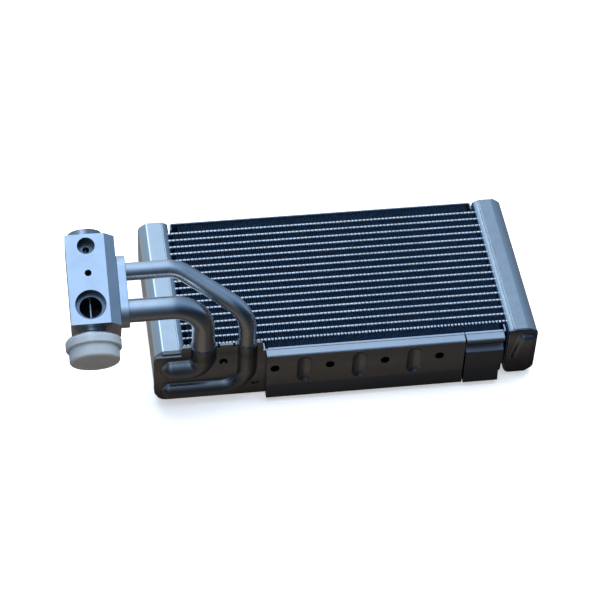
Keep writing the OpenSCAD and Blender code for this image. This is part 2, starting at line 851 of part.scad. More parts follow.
// Puts a piece of the valve into its leaning place
module valve_place() {
    translate([block_x, joint_y, valve_z]) rotate([valve_tilt, 0, 0]) children();
}

module pipe_flange() {
    x0 = block_w + flange_gap;
    color("silver") valve_place() difference() {
        union() {
            rod_x([x0, 0, 0], flange_t, flange_r);
            rod_x([x0, seat_gap, 0], flange_t, flange_r);
            translate([x0, 0, -flange_r]) cube([flange_t, seat_gap, 2 * flange_r]);
        }
        rod_x([x0 - cut, 0, 0], flange_t + 2 * cut, upper_r);
        rod_x([x0 - cut, seat_gap, 0], flange_t + 2 * cut, lower_r);
        rod_x([x0 - cut, screw_y, screw_z], flange_t + 2 * cut, screw_r);
    }
}

module o_ring(y, r) {
    translate([block_w - ring_depth / 2, y, 0]) rotate([0, 90, 0])
        rotate_extrude($fn = round_sides) translate([r, 0]) circle(r = ring_r, $fn = round_sides);
}

module flange_o_rings() {
    color("darkgreen") valve_place() {
        o_ring(0, upper_r + ring_r);
        o_ring(seat_gap, lower_r + ring_r);
    }
}

module flange_screw() {
    color("gray") valve_place() difference() {
        union() {
            rod_x([counter_l - screw_head_l, screw_y, screw_z], screw_head_l, screw_head_r);
            rod_x([counter_l, screw_y, screw_z], block_w + flange_gap + flange_t - counter_l, screw_r);
        }
        translate([counter_l - screw_head_l - cut, screw_y, screw_z]) rotate([0, 90, 0])
            cylinder(h = hex_l + cut, r = screw_r, $fn = 6);
    }
}

module valve_body() {
    shape = [[0, block_bot], [block_w, block_bot], [block_w, block_top - block_bevel],
        [block_w - block_bevel, block_top], [0, block_top]];
    floor_y = line_suction_floor;
    color("lightsteelblue") valve_place() difference() {
        along_y(block_near, block_far, shape);
        translate([port_x, 0, block_top - line_suction_l])
            cylinder(h = line_suction_l + cut, r = line_suction_d / 2, $fn = round_sides);
        translate([port_x, 0, floor_y])
            cylinder(h = block_top - floor_y, r = line_suction_inner, $fn = round_sides);
        translate([port_x, line_liquid_y, block_top - line_liquid_l])
            cylinder(h = line_liquid_l + cut, r = line_liquid_d / 2, $fn = round_sides);
        translate([port_x, line_liquid_y, rod_z])
            cylinder(h = block_top - rod_z, r = line_liquid_inner, $fn = round_sides);
        translate([port_x, line_screw_y, block_top - line_screw_l])
            cylinder(h = line_screw_l + cut, r = line_screw_d / 2, $fn = round_sides);
        rod_x([port_x, 0, 0], block_w, suction_bore);
        rod_x([block_w - seat_l, 0, 0], seat_l + cut, upper_r);
        rod_x([block_w - ring_depth, 0, 0], ring_depth + cut, upper_r + 2 * ring_r);
        rod_x([port_x - liquid_bore, seat_gap, 0], block_w, liquid_bore);
        rod_x([block_w - seat_l, seat_gap, 0], seat_l + cut, lower_r);
        rod_x([block_w - ring_depth, seat_gap, 0], ring_depth + cut, lower_r + 2 * ring_r);
        rod_y([port_x, block_near - cut, rod_z], stub_l + cut + slip, stub_r + slip);
        rod_y([port_x, block_near, rod_z], seat_gap - block_near, rod_r + slip);
        rod_y([port_x, seat_gap, rod_z], orifice_y - seat_gap + cut, orifice_r);
        rod_y([port_x, orifice_y, rod_z], block_far - orifice_y, chamber_r);
        rod_y([port_x, block_far - stem_l, rod_z], stem_l + cut, stem_r);
        rod_x([-cut, screw_y, screw_z], block_w + 2 * cut, screw_r + slip * 3);
        rod_x([-cut, screw_y, screw_z], counter_l + cut, counter_r);
    }
}

module valve_plug() {
    color("gray") valve_place() difference() {
        union() {
            rod_y([port_x, block_far, rod_z], plug_t, plug_r);
            rod_y([port_x, block_far - stem_l, rod_z], stem_l, stem_r);
        }
        translate([port_x, block_far + plug_t + cut, rod_z]) rotate([90, 0, 0])
            cylinder(h = hex_l + cut, r = hex_r, $fn = 6);
    }
}

module valve_spring() {
    from = carrier_end + wire_r;
    to = block_far - stem_l - wire_r;
    steps = spring_turns * turn_rings;
    p = [for (i = [0:steps]) [port_x + spring_r * cos(360 * i / turn_rings),
        from + (to - from) * i / steps, rod_z + spring_r * sin(360 * i / turn_rings)]];
    color("gray") valve_place() wire_along(p, [1, 0, 0], wire_r, wire_sides);
}

module valve_ball() {
    color("gray") valve_place() {
        translate([port_x, ball_y, rod_z]) sphere(r = ball_r, $fn = round_sides);
        rod_y([port_x, ball_y + ball_r / 2, rod_z], ball_r / 2, carrier_r);
    }
}

module sensing_rod() {
    from = block_near + stub_l;
    color("gainsboro") valve_place() rod_y([port_x, from, rod_z], ball_y - ball_r - from, rod_r);
}

// Turned piece on the near end of the valve block, from points [radius, height]
module on_head(pts) {
    valve_place() translate([port_x, block_near, rod_z]) rotate([90, 0, 0])
        rotate_extrude($fn = round_sides) polygon(pts);
}

module power_head() {
    color("silver") on_head([[0, -stub_l], [stub_r, -stub_l], [stub_r, 0], [neck_r, 0], [neck_r, neck_l],
        [cone_r, neck_l], [head_r - crimp_in, crimp_from], [head_r, crimp_from], [head_r, crimp_to],
        [head_r - 2 * crimp_in, crimp_to], [crown_r, crown_h], [charge_r, crown_h],
        [charge_r, charge_h], [0, charge_h]]);
}

module protective_cap() {
    inner_end = cap_end - cap_end_t;
    color("white") on_head(concat(
        [[head_r, rim_from], [rim_r, rim_from], [rim_r, rim_to], [cap_r, rim_to]],
        arc([cap_r - cap_round, cap_end - cap_round], cap_round, 0, 90),
        [[0, cap_end], [0, inner_end], [cap_r - cap_wall, inner_end], [cap_r - cap_wall, rim_to - cap_wall],
        [head_r, rim_to - cap_wall]]));
}

for (i = [1:tube_count]) placed() tube(i);
for (i = [1:tube_count + 1]) placed() fin(i);
placed() left_header_plate();
placed() left_tank();
placed() left_near_cap();
placed() right_header_plate();
placed() right_tank();
placed() right_near_cap();
placed() far_end_caps();
placed() far_side_plate();
placed() near_side_plate();
placed() channel_back_plate();
placed() channel_front_plate();
placed() short_bracket();
placed() suction_pipe();
placed() liquid_pipe();
placed() braze_rings();
placed() pipe_flange();
placed() flange_o_rings();
placed() flange_screw();
placed() valve_body();
placed() valve_plug();
placed() valve_spring();
placed() valve_ball();
placed() sensing_rod();
placed() power_head();
placed() protective_cap();
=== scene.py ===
"""Evaporator core with its pipes and block valve, dressed for rendering.

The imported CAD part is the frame. Louvred fins, beaded tubes, smooth pipes, the braze seams and the
domed end cap are surfaces worked out with numpy. The other pieces are copies of their CAD solids
with merged points and softened edges, and a few small solids only get a finish.
Shapes are worked out in millimetres and put into their meshes in metres. X runs along the tubes,
+Y away from the pipe side, +Z up.
"""

import math

import bmesh
import bpy
import numpy as np
from mathutils import Matrix, Vector
from mathutils.geometry import convex_hull_2d


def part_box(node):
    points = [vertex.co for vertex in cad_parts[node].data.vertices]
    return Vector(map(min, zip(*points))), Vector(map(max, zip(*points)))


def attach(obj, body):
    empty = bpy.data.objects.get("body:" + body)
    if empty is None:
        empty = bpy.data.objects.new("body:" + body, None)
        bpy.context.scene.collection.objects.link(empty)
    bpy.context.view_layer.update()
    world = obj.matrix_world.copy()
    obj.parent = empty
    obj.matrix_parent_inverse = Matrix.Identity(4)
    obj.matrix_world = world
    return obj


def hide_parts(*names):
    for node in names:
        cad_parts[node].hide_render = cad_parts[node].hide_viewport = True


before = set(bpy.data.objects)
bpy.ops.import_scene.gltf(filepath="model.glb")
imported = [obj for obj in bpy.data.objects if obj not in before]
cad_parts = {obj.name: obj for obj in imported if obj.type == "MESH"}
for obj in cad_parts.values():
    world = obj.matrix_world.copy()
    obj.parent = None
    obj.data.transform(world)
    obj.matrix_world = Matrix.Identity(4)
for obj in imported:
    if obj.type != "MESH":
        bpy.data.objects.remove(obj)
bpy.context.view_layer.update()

MM = 0.001
SHIFT = np.array([33.3, 22.41004, 0.0])      # from the tube bundle's middle to the part's origin


# ---------------------------------------------------------------- materials

MIX_FIRST, MIX_SECOND, MIX_RESULT = 6, 7, 2     # colour sockets of a Mix node
NOISE_LOW, NOISE_HIGH = 0.3, 0.7                # most of the noise lies between these
HEIGHT_RANGE = ("Z", 0.0, 60.0)                 # axis, start and span of the painted shade and highlight by height
JOINT_RANGE = ("Y", -60.0, 20.0)                # the same across the side plates
# Scale of the gloss patches and the skin against that of the tone's patches, and the relief's
# height in metres
METAL_GLOSS, METAL_RELIEF = 2.3, 0.0002
COAT_GLOSS, COAT_SKIN, COAT_RELIEF = 0.4, 6.0, 0.0001
# How the grain is drawn out along X, Y and Z
EVEN, ALONG_X, ALONG_Y, TUBE_WAY = (1, 1, 1), (0.12, 1.0, 1.0), (1.0, 0.12, 1.0), (0.5, 1, 1)


def node_maker(tree):
    """A helper that adds a node to the tree and sets its properties and sockets by name."""
    def add(kind, **values):
        node = tree.nodes.new(kind)
        for key, value in values.items():
            if hasattr(node, key):
                setattr(node, key, value)
            else:
                node.inputs[key.replace("_", " ")].default_value = value
        return node

    return add


def new_material(name):
    """An empty node material, its Principled shader and the helpers that link and add nodes."""
    material = bpy.data.materials.new(name)
    material.use_nodes = True
    tree = material.node_tree
    return material, tree.links.new, tree.nodes["Principled BSDF"], node_maker(tree)


def feed(link, socket, value):
    """Sets a socket to a number, or links an output to it."""
    if isinstance(value, (int, float)):
        socket.default_value = value
    else:
        link(value, socket)


def grain(add, link, stretch, scale, detail=4.0):
    """Noise on the piece's own place, stretched along the axes."""
    place = add("ShaderNodeTexCoord")
    turn = add("ShaderNodeMapping", Scale=stretch)
    noise = add("ShaderNodeTexNoise", Scale=scale, Detail=detail, Roughness=0.6)
    link(place.outputs["Object"], turn.inputs["Vector"])
    link(turn.outputs["Vector"], noise.inputs["Vector"])
    return noise.outputs["Fac"]


def ramp(add, link, source, stops, blend="LINEAR"):
    """Colour by value: stops are (value, colour), from low to high."""
    node = add("ShaderNodeValToRGB")
    node.color_ramp.interpolation = blend
    points = node.color_ramp.elements
    for n, (at, colour) in enumerate(stops):
        point = points[n] if n < 2 else points.new(at)
        point.position = at
        point.color = (*colour, 1.0)
    link(source, node.inputs["Fac"])
    return node.outputs["Color"]


def between(add, link, source, low, high, from_low=NOISE_LOW, from_high=NOISE_HIGH):
    """A number that follows the source between two limits."""
    node = add("ShaderNodeMapRange", From_Min=from_low, From_Max=from_high,
               To_Min=low, To_Max=high)
    link(source, node.inputs["Value"])
    return node.outputs["Result"]


def mixed(add, link, blend, factor, first, second):
    """Two colours mixed by a factor, which is a number or an output."""
    node = add("ShaderNodeMix", data_type="RGBA", blend_type=blend)
    feed(link, node.inputs[0], factor)
    link(first, node.inputs[MIX_FIRST])
    link(second, node.inputs[MIX_SECOND])
    return node.outputs[MIX_RESULT]


def cloudy(add, link, stretch, spots, dark, light):
    """Cloudy tone between a dark and a light colour."""
    cloud = grain(add, link, stretch, spots)
    return ramp(add, link, cloud, [(NOISE_LOW, dark), (NOISE_HIGH, light)])


def by_place(add, link, axis, start, span, stops):
    """Grey factor along one axis of the part: stops are (millimetres from the start, factor)."""
    place = add("ShaderNodeTexCoord")
    parts = add("ShaderNodeSeparateXYZ")
    link(place.outputs["Object"], parts.inputs["Vector"])
    at = between(add, link, parts.outputs[axis], 0.0, 1.0, start * MM, (start + span) * MM)
    return ramp(add, link, at, [(z / span, (f, f, f)) for z, f in stops])


def surface(add, link, shader, patches, rough, skin, strength, distance):
    """Patchy gloss between two roughnesses, and a fine relief of the given strength and height."""
    link(between(add, link, patches, *rough), shader.inputs["Roughness"])
    relief = add("ShaderNodeBump", Strength=strength, Distance=distance)
    link(skin, relief.inputs["Height"])
    link(relief.outputs["Normal"], shader.inputs["Normal"])


def metal(name, dark, light, rough, stretch=EVEN, spots=60.0, fine=900.0, bump=0.08,
          painted_light=(), bare=1.0, joint=()):
    """Bare metal: cloudy tone, patchy gloss and a fine rolled or cast grain. With painted light, the
    tone is multiplied by a factor by height: painted shade that darkens the sheet towards the floor,
    and painted highlights where the factor rises. Less than 1 bare, it is whitish with dried flux. A
    joint is a line along the tubes: a bright burr and a dark gap beside it."""
    material, link, shader, add = new_material(name)
    tone = cloudy(add, link, stretch, spots, dark, light)
    # Painted light: the tone is multiplied by painted shade and highlight by height
    for where, stops in ((HEIGHT_RANGE, painted_light), (JOINT_RANGE, joint)):
        if stops:
            tone = mixed(add, link, "MULTIPLY", 1.0, tone, by_place(add, link, *where, stops))
    link(tone, shader.inputs["Base Color"])
    shader.inputs["Metallic"].default_value = bare
    surface(add, link, shader, grain(add, link, EVEN, spots * METAL_GLOSS, 6.0), rough,
            grain(add, link, stretch, fine, 3.0), bump, METAL_RELIEF)
    return material


def coat(name, dark, light, rough, spots=300.0, bump=0.15, depth=None, shine=0.5):
    """Dark hydrophilic coating, moulded plastic or rubber: small tone changes and a fine skin.
    Depth is how far, in millimetres, red, green and blue light runs through the plastic."""
    material, link, shader, add = new_material(name)
    link(cloudy(add, link, EVEN, spots, dark, light), shader.inputs["Base Color"])
    shader.inputs["Metallic"].default_value = 0.0
    shader.inputs["Specular IOR Level"].default_value = shine
    if depth:
        shader.inputs["Subsurface Weight"].default_value = 0.7
        shader.inputs["Subsurface Radius"].default_value = depth
        shader.inputs["Subsurface Scale"].default_value = MM
    surface(add, link, shader, grain(add, link, EVEN, spots * COAT_GLOSS, 5.0), rough,
            grain(add, link, EVEN, spots * COAT_SKIN, 3.0), bump, COAT_RELIEF)
    return material


# Factors by height over the floor in millimetres: painted shade that darkens the sheets towards the
# floor, and painted highlights where they rise, as on the cap's dome and the web's top flange
CAP_PAINTED_LIGHT = [(0, 0.20), (14, 0.36), (32, 0.85), (38, 1.15), (43, 0.90), (46, 0.62)]
PLATE_PAINTED_LIGHT = [(0, 0.24), (14, 0.36), (45.2, 0.58), (46.6, 1.45)]
CHANNEL_PAINTED_LIGHT = [(0, 0.22), (10, 0.38), (22, 0.62), (30, 0.74), (36, 0.72), (44, 0.70),
                   (49, 0.50), (58, 0.80)]
# Factors across the side plates, in millimetres from the range's start: the gap, then the burr
PLATE_JOINT = [(8.7, 1.0), (9.0, 0.30), (9.4, 0.30), (9.7, 1.0), (10.0, 1.15), (11.5, 1.15)]

# Darkest and lightest tone, lowest and highest roughness, the grain's way, how many patches and
# grain marks a metre has, and the strength of the relief
tube_metal = metal("tube edges", (0.62, 0.70, 0.75), (0.94, 0.97, 1.0), (0.18, 0.32),
                   TUBE_WAY, 320.0, 900.0, 0.05, bare=0.6)
# A darker copy of the tube edges' metal: painted shade between the beads
bead_gap_shade_metal = metal("tube edges, painted shade between beads", (0.16, 0.22, 0.27), (0.34, 0.42, 0.49),
                   (0.24, 0.38), TUBE_WAY, 320.0, 900.0, 0.05, bare=0.6)
header_metal = metal("brazed header sheet", (0.69, 0.71, 0.71), (0.79, 0.80, 0.81),
                     (0.25, 0.34), ALONG_Y, 55.0, 2200.0, 0.01)
# A darker copy of the header sheet: painted shade on the header plates' bands beside the tanks
header_plate_shade_metal = metal("header plate sheet, painted shade", (0.46, 0.50, 0.53), (0.58, 0.62, 0.66),
                    (0.26, 0.38), ALONG_Y, 55.0, 2200.0, 0.01)
# Whiter than the header sheet: burnished folds and braze seams, brightened as a painted highlight
crease_highlight_metal = metal("burnished folds, painted highlight", (0.92, 0.94, 0.95), (1.0, 1.0, 1.0),
                     (0.14, 0.20), ALONG_Y, 55.0, 2200.0, 0.01)
# A darker copy of the header sheet: painted shade on the caps that face the front
cap_shade_metal = metal("header end caps, painted shade", (0.40, 0.40, 0.43), (0.52, 0.52, 0.55), (0.18, 0.28),
                  EVEN, 70.0, 1800.0, 0.02, painted_light=CAP_PAINTED_LIGHT)
plate_metal = metal("brazed side sheet", (0.46, 0.45, 0.46), (0.58, 0.57, 0.58), (0.32, 0.48),
                    ALONG_X, 45.0, 1800.0, 0.03, painted_light=PLATE_PAINTED_LIGHT, joint=PLATE_JOINT)
channel_metal = metal("pressed channel sheet", (0.46, 0.45, 0.45), (0.60, 0.58, 0.58),
                      (0.22, 0.36), ALONG_X, 50.0, 1800.0, 0.012, painted_light=CHANNEL_PAINTED_LIGHT)
far_metal = metal("far side sheet", (0.50, 0.50, 0.51), (0.64, 0.64, 0.66), (0.32, 0.48),
                  ALONG_X, 45.0, 1800.0, 0.03)
pipe_metal = metal("drawn pipe", (0.66, 0.67, 0.69), (0.76, 0.77, 0.79), (0.20, 0.30),
                   EVEN, 40.0, 3200.0, 0.01)
braze_metal = metal("braze", (0.28, 0.27, 0.30), (0.44, 0.43, 0.47), (0.22, 0.36),
                    EVEN, 260.0, 1500.0, 0.08)
valve_metal = metal("machined valve block", (0.80, 0.84, 0.88), (0.88, 0.92, 0.96),
                    (0.28, 0.40), EVEN, 45.0, 2600.0, 0.02)
# Dark copies of the block's metal: painted shade in the bores and on their steps
bore_shade_metal = metal("bore walls, painted shade", (0.030, 0.042, 0.045), (0.085, 0.105, 0.110), (0.22, 0.40),
                   EVEN, 220.0, 1400.0, 0.03)
step_shade_metal = metal("bore steps, painted shade", (0.16, 0.19, 0.21), (0.28, 0.32, 0.35), (0.22, 0.34),
                   EVEN, 160.0, 1400.0, 0.03)
steel = metal("plated steel", (0.42, 0.42, 0.42), (0.58, 0.58, 0.58), (0.2, 0.35), EVEN, 150.0)
fin_coat = coat("coated fin sheet", (0.012, 0.033, 0.076), (0.023, 0.057, 0.124),
                (0.34, 0.50), 300.0, 0.1, shine=0.2)
crest_coat = coat("brazed fin crests", (0.014, 0.038, 0.084), (0.034, 0.078, 0.150),
                  (0.34, 0.50), 260.0, 0.1, shine=0.2)
seal = coat("seal rubber", (0.012, 0.012, 0.013), (0.03, 0.03, 0.032), (0.5, 0.7), 400.0)
plastic = coat("cap plastic", (0.45, 0.48, 0.50), (0.50, 0.53, 0.55), (0.25, 0.4),
               120.0, 0.05, depth=(14, 9, 6))


# ---------------------------------------------------------------- meshes

MERGE = 2e-6          # metres: loose triangles' corners closer than this are one point
FLAT = 0.6            # degrees: triangles that turn less than this are one flat face
SHARP = 30.0          # degrees: an edge that turns more than this is rounded
FOLD_TURN = 42.0      # degrees: a long edge that turns less than this is a fold in the sheet
FOLD_LENGTH = 40.0


def box_mm(node):
    """Lowest and highest corner of a CAD solid in millimetres."""
    return [np.array(corner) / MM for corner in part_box(node)]


def grid_quads(rows, n):
    """Faces of a grid of rows, each a closed ring of n points. A face joins a point, the one beside
    it and the same two in the next row."""
    i, k = np.meshgrid(np.arange(rows - 1), np.arange(n), indexing="ij")
    m = (k + 1) % n
    corners = [i * n + k, i * n + m, (i + 1) * n + m, (i + 1) * n + k]
    return np.stack(corners, axis=-1).reshape(-1, 4)


def paint_faces(mesh, kind, *materials):
    """Adds materials after the mesh's first, and gives each face the material of its kind."""
    for material in materials:
        mesh.materials.append(material)
    mesh.polygons.foreach_set("material_index", np.asarray(kind).astype(np.int32))


def make_piece(name, verts, faces, material, nodes=(), smooth=True):
    """Puts points in millimetres and faces into a mesh that rides on the part."""
    mesh = bpy.data.meshes.new(name)
    faces = np.asarray(faces)
    count, sides = faces.shape
    mesh.vertices.add(len(verts))
    mesh.vertices.foreach_set("co", (np.asarray(verts, float) * MM).ravel())
    mesh.loops.add(count * sides)
    mesh.loops.foreach_set("vertex_index", faces.ravel())
    mesh.polygons.add(count)
    mesh.polygons.foreach_set("loop_start", np.arange(count) * sides)
    mesh.update(calc_edges=True)
    mesh.validate()
    mesh.polygons.foreach_set("use_smooth", np.full(len(mesh.polygons), smooth))
    piece = bpy.data.objects.new(name, mesh)
    bpy.context.collection.objects.link(piece)
    mesh.materials.append(material)
    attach(piece, "root")
    if nodes:
        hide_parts(*nodes)
    return piece


def softened(node, material, slot, width, fold=None, crease=None):
    """A copy of a CAD solid: its loose triangles are merged and joined into flat faces, and a small
    bevel of the given width in millimetres rounds each sharp edge. A long edge that turns little is
    a fold in the sheet and gets the fold's width. The rounded strips can have a crease material of
    their own."""
    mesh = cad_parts[node].data.copy()
    mesh.name = "soft_" + node
    work = bmesh.new()
    work.from_mesh(mesh)
    bmesh.ops.remove_doubles(work, verts=work.verts, dist=MERGE)
    bmesh.ops.dissolve_limit(work, angle_limit=math.radians(FLAT), verts=work.verts,
                             edges=work.edges)
    weight = work.edges.layers.float.new("bevel_weight_edge")
    widest = fold or width
    for edge in work.edges:
        turn = edge.calc_face_angle(0.0)
        if turn > math.radians(SHARP):
            folded = turn < math.radians(FOLD_TURN) and edge.calc_length() > FOLD_LENGTH * MM
            edge[weight] = 1.0 if folded else width / widest
    work.to_mesh(mesh)
    work.free()
    mesh.materials.clear()
    mesh.materials.append(material)
    mesh.polygons.foreach_set("use_smooth", np.full(len(mesh.polygons), True))
    mesh.set_sharp_from_angle(angle=math.radians(SHARP))
    piece = bpy.data.objects.new("soft_" + node, mesh)
    bpy.context.collection.objects.link(piece)
    bevel = piece.modifiers.new("soft edges", "BEVEL")
    bevel.width = widest * MM
    bevel.segments = 4 if fold else 2
    if crease:
        mesh.materials.append(crease)
        bevel.material = 1
    bevel.limit_method = "WEIGHT"
    bevel.use_clamp_overlap = True
    even = piece.modifiers.new("flat faces stay flat", "WEIGHTED_NORMAL")
    even.keep_sharp = True
    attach(piece, "root")
    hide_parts(node)
    return piece


# ---------------------------------------------------------------- louvred fins

TUBE_T, TUBE_COUNT = 1.7, 17
FIN_LOW, FIN_HIGH = 2.4, 46.1
WAVE = 3.08           # one full wave of the fin sheet along the tubes
WAVE_SIDE = 2.68      # the same in the rows beside the side plates
REACH_L, REACH_R = 2.6, 4.3   # how far the sheet runs on towards the two headers
FIN_T = 0.12
CREST = 0.42          # height of the rounded crests that touch the tubes
CREST_POINTS = 5      # points round a crest
CREST_WALL = 0.5      # straight ends of a crest, towards the louvres
LAP = 0.05            # how far the louvres run into the crests
BAND = 1.4            # plain band at the bottom and top edges
MIDDLE = 2.6          # plain band where the louvres turn round
SLATS = 7             # louvres in each half of the fin's depth
SLAT_SHARE = 0.94     # a louvre's share of its room, the rest is the gap
TILT = 16.0


def boxes(centre, half_x, half_y, half_z, lean):
    """Thin boxes, one per row of centre. Each corner is the centre plus or minus the half sizes,
    and a corner's x also grows with its height times the lean."""
    sign = np.array([[i, j, k] for i in (-1, 1) for j in (-1, 1) for k in (-1, 1)], float)
    half = np.stack(np.broadcast_arrays(half_x, half_y, half_z), axis=-1)
    corner = sign[None] * np.atleast_2d(half)[:, None, :]
    corner = np.broadcast_to(corner, (len(centre), 8, 3)).copy()
    corner[:, :, 0] += corner[:, :, 2] * np.reshape(lean, (-1, 1))
    faces = np.array([[0, 1, 3, 2], [4, 6, 7, 5], [0, 4, 5, 1],
                      [2, 3, 7, 6], [0, 2, 6, 4], [1, 5, 7, 3]])
    verts = (centre[:, None, :] + corner).reshape(-1, 3)
    return verts, (faces[None] + 8 * np.arange(len(centre))[:, None, None]).reshape(-1, 4)


def crests(x, y, way, wide):
    """Bent strips of fin sheet. Each follows a half ellipse about (x, y), as wide as the walls
    stand apart, with straight ends, and is carried from the bottom of the fin to its top."""
    turn = np.radians(np.linspace(0.0, 180.0, CREST_POINTS))
    ring = []
    for off in (FIN_T / 2, -FIN_T / 2):
        px = (wide / 2 + off) * np.concatenate([[1.0], np.cos(turn), [-1.0]])
        arch = (CREST - FIN_T / 2 + off) * np.sin(turn)
        py = np.concatenate([[-CREST_WALL], arch, [-CREST_WALL]])
        ring.append(np.stack([px, py], axis=-1))
    ring = np.concatenate([ring[0], ring[1][::-1]])
    n = len(ring)
    points = np.zeros((len(x), 2, n, 3))
    points[..., 0] = x[:, None, None] + ring[:, 0] * way[:, None, None]
    points[..., 1] = (y + ring[:, 1] * way[:, None])[:, None, :]
    points[:, 0, :, 2], points[:, 1, :, 2] = FIN_LOW, FIN_HIGH
    k, h = np.arange(n), np.arange(n // 2 - 1)
    sides = np.stack([k, (k + 1) % n, (k + 1) % n + n, k + n], axis=-1)
    low = np.stack([h, n - 1 - h, n - 2 - h, h + 1], axis=-1)
    high = np.stack([h, h + 1, n - 2 - h, n - 1 - h], axis=-1) + n
    faces = np.concatenate([sides, low, high])
    faces = faces[None] + 2 * n * np.arange(len(x))[:, None, None]
    return points.reshape(-1, 3), faces.reshape(-1, 4)


def row_span(n):
    """A fin row's box, the left end of its sheet, and how many crests it has at what pitch."""
    low, high = [corner - SHIFT for corner in box_mm("fin_%02d" % n)]
    inner = 1 < n <= TUBE_COUNT
    x0, x1 = low[0] - inner * REACH_L, high[0] + inner * REACH_R
    count = int(round((x1 - x0) / ((WAVE if inner else WAVE_SIDE) / 2)))
    return low, high, x0, count, (x1 - x0) / count


def fin_row(n):
    """A louvred fin row. Crests alternate between the two tubes at half the wave's pitch; the walls
    between them are plain bands and slats, and each slat leans by the tilt about its own middle."""
    name = "fin_%02d" % n
    low, high, x0, count, pitch = row_span(n)
    y, height = (low[1] + high[1]) / 2, high[1] - low[1]
    centre = x0 + pitch * (np.arange(count) + 0.5)
    way = np.where(np.arange(count) % 2 == 0, 1.0, -1.0)
    reach = height / 2 - CREST
    strip_v, strip_f = crests(centre, (y + way * reach)[:, None], way, pitch)

    wall_x = centre[:-1] + pitch / 2
    half_y = reach - CREST_WALL + LAP
    room = (FIN_HIGH - FIN_LOW - 2 * BAND - MIDDLE) / 2 / SLATS
    lower = FIN_LOW + BAND + room * (np.arange(SLATS) + 0.5)
    upper = FIN_HIGH - BAND - room * (np.arange(SLATS) + 0.5)
    bands = [FIN_LOW + BAND / 2, (FIN_LOW + FIN_HIGH) / 2, FIN_HIGH - BAND / 2]
    z = np.concatenate([lower, upper, bands])
    side = np.concatenate([np.full(SLATS, 1.0), np.full(SLATS, -1.0), [0, 0, 0]])
    lean = side * math.tan(math.radians(TILT))
    slats = np.full(2 * SLATS, room / 2 * SLAT_SHARE)
    tall = np.concatenate([slats, [BAND / 2, MIDDLE / 2, BAND / 2]])
    grid_x, grid_z = np.meshgrid(wall_x, z, indexing="ij")
    middle = np.stack([grid_x, np.full_like(grid_x, y), grid_z], axis=-1).reshape(-1, 3)
    slat_v, slat_f = boxes(middle, FIN_T / 2, half_y, np.tile(tall, len(wall_x)),
                           np.tile(lean, len(wall_x)))
    verts = np.concatenate([strip_v, slat_v])
    faces = np.concatenate([strip_f, slat_f + len(strip_v)])
    piece = make_piece("louvred_" + name, verts + SHIFT, faces, fin_coat, [name],
                       smooth=False)
    paint_faces(piece.data, np.arange(len(faces)) < len(strip_f), crest_coat)


def all_fins():
    """Rows between the tubes, and the two taller rows beside the side plates."""
    for n in range(1, TUBE_COUNT + 2):
        fin_row(n)


# ---------------------------------------------------------------- tubes

BEAD_STEPS = 8              # points along each bead
ROUND_TOP = 6               # points over the rounded top edge
BEAD_SIZES = (0.45, 1.0)    # smallest and largest share of the rise
BEAD_FACING = 120.0         # degrees up and round where a bead stands out most
BEAD_SLIDE = 0.9            # how far a bead leans along the tube for its rise
BEAD_CLIMB = 0.35           # how far it stands up for its rise
BEAD_CLEAR = 0.36           # between beads: the bead's wave squared is under this
BEAD_CLEAR_APART = 0.42     # the same where the beads stand apart
BEAD_RISE, BEAD_RISE_FRONT = 0.45, 1.2


def beaded_tube(name, low, high, first, gap, rise, apart):
    """A flat tube with braze beads on its front top edge, one at each fin crest that touches it.
    The outline has half round edges. It is carried along the tube, and where the outline faces
    front and up it swells by the bead's rise times the fourth power of the cosine of the way to the
    crest. The rounded top is bare metal with painted shade between the beads: a darker metal or,
    where they stand apart, the fins' coating. The flat sides and the rest have the fins' dark
    coating."""
    y = (low[1] + high[1]) / 2
    rng = np.random.default_rng(int(abs(y) * 10) + 7)
    count = int((high[0] - low[0]) / gap * BEAD_STEPS)
    x = np.linspace(low[0], high[0], count)
    order = np.round((x - first) / gap)
    sizes = rng.uniform(*BEAD_SIZES, int(order.max() - order.min()) + 1)
    lift = sizes[(order - order.min()).astype(int)]
    swell = rise * lift * np.cos(math.pi * (x - first) / gap) ** 4
    over = np.radians(np.linspace(180.0, 0.0, ROUND_TOP))
    under = np.radians(np.linspace(0.0, -180.0, 4))
    r = TUBE_T / 2
    out_y = np.concatenate([np.cos(over), np.cos(under)])
    out_z = np.concatenate([np.sin(over), np.sin(under)])
    base_z = np.concatenate([np.full(len(over), high[2] - r), np.full(len(under), low[2] + r)])
    facing = np.clip(np.cos(over - math.radians(BEAD_FACING)), 0, 1)
    share = np.concatenate([facing, np.zeros(len(under))])
    far = r + swell[:, None] * share
    along = np.broadcast_to(x[:, None], far.shape) - BEAD_SLIDE * swell[:, None] * share * out_z
    points = np.stack([along, y + far * out_y,
                       base_z + r * out_z + BEAD_CLIMB * (far - r) * out_z], axis=-1)
    n = points.shape[1]
    faces = grid_quads(count, n)[:, [0, 3, 2, 1]]
    half = np.arange(n // 2 - 1)
    near_end = np.stack([half, half + 1, n - 2 - half, n - 1 - half], axis=-1)
    faces = np.concatenate([faces, near_end, near_end[:, ::-1] + (count - 1) * n])
    piece = make_piece("beaded_" + name, points.reshape(-1, 3) + SHIFT, faces, tube_metal,
                       [name])
    limit = BEAD_CLEAR_APART if apart else BEAD_CLEAR
    clear = np.cos(math.pi * (x - first) / gap) ** 2 < limit
    # Painted shade between the beads: the darker metal, or the fins' coating where they stand apart
    kind = np.where(clear[faces[:, 0] // n], 1 if apart else 2, 0)
    kind[faces[:, 0] % n >= ROUND_TOP - 1] = 1
    paint_faces(piece.data, kind, fin_coat, bead_gap_shade_metal)


